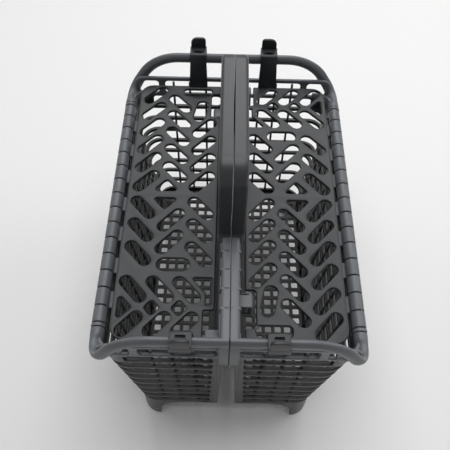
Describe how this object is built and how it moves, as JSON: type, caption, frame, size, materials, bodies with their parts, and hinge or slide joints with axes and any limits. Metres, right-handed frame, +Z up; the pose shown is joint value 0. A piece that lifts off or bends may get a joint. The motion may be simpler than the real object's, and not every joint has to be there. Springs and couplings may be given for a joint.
{
  "type": "dishwasher cutlery basket",
  "caption": "Slotted plastic cutlery basket in equal halves that couple at a seam, with hinged grille lids, latch clips and a carrying handle.",
  "frame": {"origin": "on the table, under the middle of the seam", "axes": "+Z up, +Y along the seam away from the front, +X to the right half"},
  "size_m": [0.1652, 0.2348, 0.24],
  "materials": {
    "basket_plastic": "anthracite polypropylene, satin",
    "lid_plastic": "anthracite polypropylene, fine matt"
  },
  "bodies": {
    "left_half": {"left_half": "basket_plastic"},
    "right_half": {"right_half": "basket_plastic"},
    "left_lid": {"left_lid": "lid_plastic"},
    "right_lid": {"right_lid": "lid_plastic"}
  },
  "joints": [
    {"name": "halves_slide", "type": "slide", "parent": "left_half", "child": "right_half", "axis": [0, 1, 0], "range_m": [0, 0.012]},
    {"name": "left_lid_hinge", "type": "hinge", "parent": "left_half", "child": "left_lid", "pos_m": [-0.0776, 0, 0.145], "axis": [0, -1, 0], "range_deg": [0, 200]},
    {"name": "right_lid_hinge", "type": "hinge", "parent": "right_half", "child": "right_lid", "pos_m": [0.0776, 0, 0.145], "axis": [0, 1, 0], "range_deg": [0, 200]}
  ]
}
